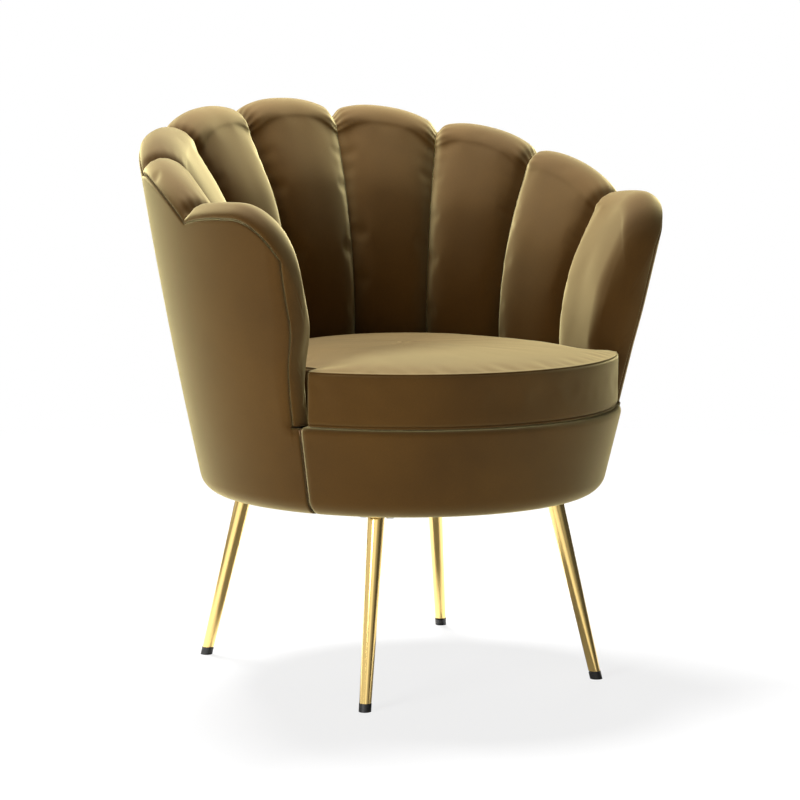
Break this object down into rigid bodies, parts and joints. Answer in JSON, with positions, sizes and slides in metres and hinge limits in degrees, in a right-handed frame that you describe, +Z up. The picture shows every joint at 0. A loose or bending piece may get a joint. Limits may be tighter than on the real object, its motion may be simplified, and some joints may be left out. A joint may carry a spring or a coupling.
{
  "type": "club chair",
  "caption": "Barrel-shaped club chair with padded scalloped channels, a loose rounded seat cushion and slim splayed metal legs.",
  "frame": {"origin": "centre of the footprint box on the floor", "axes": "+Z up, the chair faces -Y, +X to the right when it is seen from the front"},
  "size_m": [0.7146, 0.6709, 0.785],
  "materials": {
    "plywood": "sanded raw birch ply",
    "fibreboard": "smooth hardboard",
    "velvet": "short-pile velvet with a soft sheen",
    "lining_cloth": "matt non-woven cloth",
    "elastic_strap": "woven elastic",
    "foam": "open-cell foam",
    "gold_leg": "polished gold plating",
    "foot_plastic": "moulded, fine grain",
    "zip_tape": "woven tape with a coil zip",
    "zinc_steel": "zinc plated"
  },
  "bodies": {
    "root": {"base_ring": "plywood", "seat_ring": "plywood", "front_rail": "plywood", "rib_1": "plywood", "rib_2": "plywood", "rib_3": "plywood", "rib_4": "plywood", "rib_5": "plywood", "rib_6": "plywood", "rib_7": "plywood", "rib_8": "plywood", "rib_9": "plywood", "rib_10": "plywood", "glue_blocks": "plywood", "back_board": "plywood", "outer_skin": "fibreboard", "outer_cover": "velvet", "front_cover": "velvet", "dust_cover": "lining_cloth", "channel_1": "velvet", "channel_2": "velvet", "channel_3": "velvet", "channel_4": "velvet", "channel_5": "velvet", "channel_6": "velvet", "channel_7": "velvet", "channel_8": "velvet", "channel_9": "velvet", "arm_front_left": "velvet", "arm_front_right": "velvet", "seat_straps": "elastic_strap", "cross_straps": "elastic_strap", "deck_cloth": "lining_cloth", "deck_pad": "foam", "leg_front_left": "gold_leg", "leg_front_right": "gold_leg", "leg_rear_left": "gold_leg", "leg_rear_right": "gold_leg", "foot_front_left": "foot_plastic", "foot_front_right": "foot_plastic", "foot_rear_left": "foot_plastic", "foot_rear_right": "foot_plastic", "leg_screws": "zinc_steel", "tee_nuts": "zinc_steel", "frame_screws": "zinc_steel"},
    "cushion": {"seat_cushion": "velvet", "cushion_core": "foam", "cushion_zip": "zip_tape"}
  },
  "joints": [
    {"name": "cushion_lift", "type": "slide", "parent": "root", "child": "cushion", "axis": [0, 0, 1], "range_m": [0, 0.44]}
  ]
}
